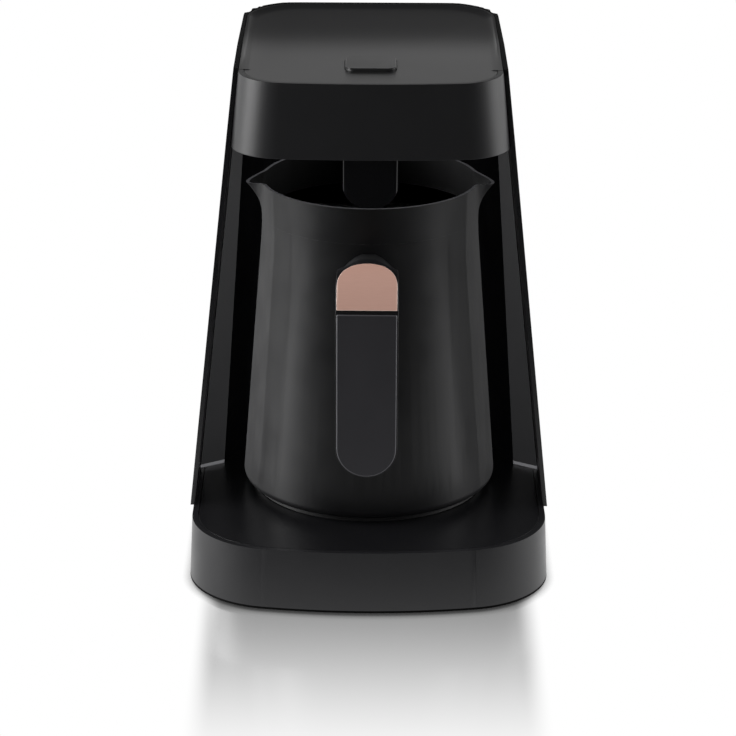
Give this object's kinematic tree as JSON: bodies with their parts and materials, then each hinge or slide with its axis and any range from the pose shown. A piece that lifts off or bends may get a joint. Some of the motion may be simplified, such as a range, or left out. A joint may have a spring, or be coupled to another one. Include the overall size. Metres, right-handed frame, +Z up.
{
  "type": "electric turkish coffee maker",
  "caption": "Tapered electric coffee stand with an open brewing chamber, a top button, and a double-walled pot with two pouring lips and a loop-end handle that slides out to the front.",
  "frame": {"origin": "centre of the footprint, on the surface that the feet stand on", "axes": "+Z up, -Y to the front where the pot's handle is, +X to the right as seen from the front"},
  "size_m": [0.151, 0.172, 0.2195],
  "materials": {
    "base_underside": "fine grain",
    "feet_rubber": "matt",
    "screw_steel": "zinc plated",
    "base_moulding": "satin gloss",
    "gloss_deck": "high gloss",
    "contact_insulator": "matt",
    "contact_metal": "bright",
    "spring_steel": "drawn wire",
    "terminal_plastic": "matt",
    "bush_rubber": "matt",
    "shell_moulding": "gloss",
    "gloss_liner": "high gloss",
    "circuit_board": "solder mask",
    "component_plastic": "matt",
    "relay_plastic": "moulded",
    "wire_sleeve": "satin",
    "wire_sleeve_pale": "satin",
    "fascia_moulding": "satin gloss",
    "gloss_nose": "high gloss",
    "window_glass": "polished infrared window",
    "panel_moulding": "satin",
    "button_plastic": "satin",
    "pot_moulding": "satin",
    "liner_steel": "spun",
    "gasket_silicone": "matt",
    "heater_aluminium": "machined",
    "element_steel": "heat tinted",
    "handle_moulding": "satin",
    "grip_plastic": "soft satin",
    "rose_metal": "rose metallic satin"
  },
  "bodies": {
    "stand": {"base_plate": "base_underside", "rubber_feet": "feet_rubber", "base_screws": "screw_steel", "base_skirt": "base_moulding", "base_deck": "gloss_deck", "contact_block": "contact_insulator", "contact_pins": "contact_metal", "contact_springs": "spring_steel", "contact_screws": "screw_steel", "mains_terminal": "terminal_plastic", "cord_bush": "bush_rubber", "rear_shell": "shell_moulding", "chamber_liner": "gloss_liner", "tower_screws": "screw_steel", "power_board": "circuit_board", "transformer": "component_plastic", "relay": "relay_plastic", "capacitors": "component_plastic", "board_screws": "screw_steel", "wiring_harness": "wire_sleeve", "head_fascia": "fascia_moulding", "head_underside": "gloss_liner", "underside_screws": "screw_steel", "sensor_nose": "gloss_nose", "sensor_window": "window_glass", "sensor_board": "circuit_board", "top_panel": "panel_moulding", "key_board": "circuit_board", "key_switch": "component_plastic", "buzzer": "component_plastic", "key_board_screws": "screw_steel", "button_spring": "spring_steel"},
    "button": {"button_cap": "button_plastic"},
    "pot": {"pot_jacket": "pot_moulding", "pot_liner": "liner_steel", "pot_gasket": "gasket_silicone", "heater_plate": "heater_aluminium", "heater_element": "element_steel", "thermal_cutout": "terminal_plastic", "pot_base": "contact_insulator", "contact_pads": "contact_metal", "pot_base_screws": "screw_steel", "pot_wires": "wire_sleeve_pale", "handle_core": "handle_moulding", "handle_grip": "grip_plastic", "handle_accent": "rose_metal", "handle_screws": "screw_steel"}
  },
  "joints": [
    {"name": "button_press", "type": "slide", "parent": "stand", "child": "button", "axis": [0, 0, -1], "range_m": [0, 0.0009], "stiffness_N_per_m": 300, "springref_m": -0.001, "deforming": ["button_spring"]},
    {"name": "pot_slide", "type": "slide", "parent": "stand", "child": "pot", "axis": [0, -1, 0], "range_m": [0, 0.16]}
  ]
}
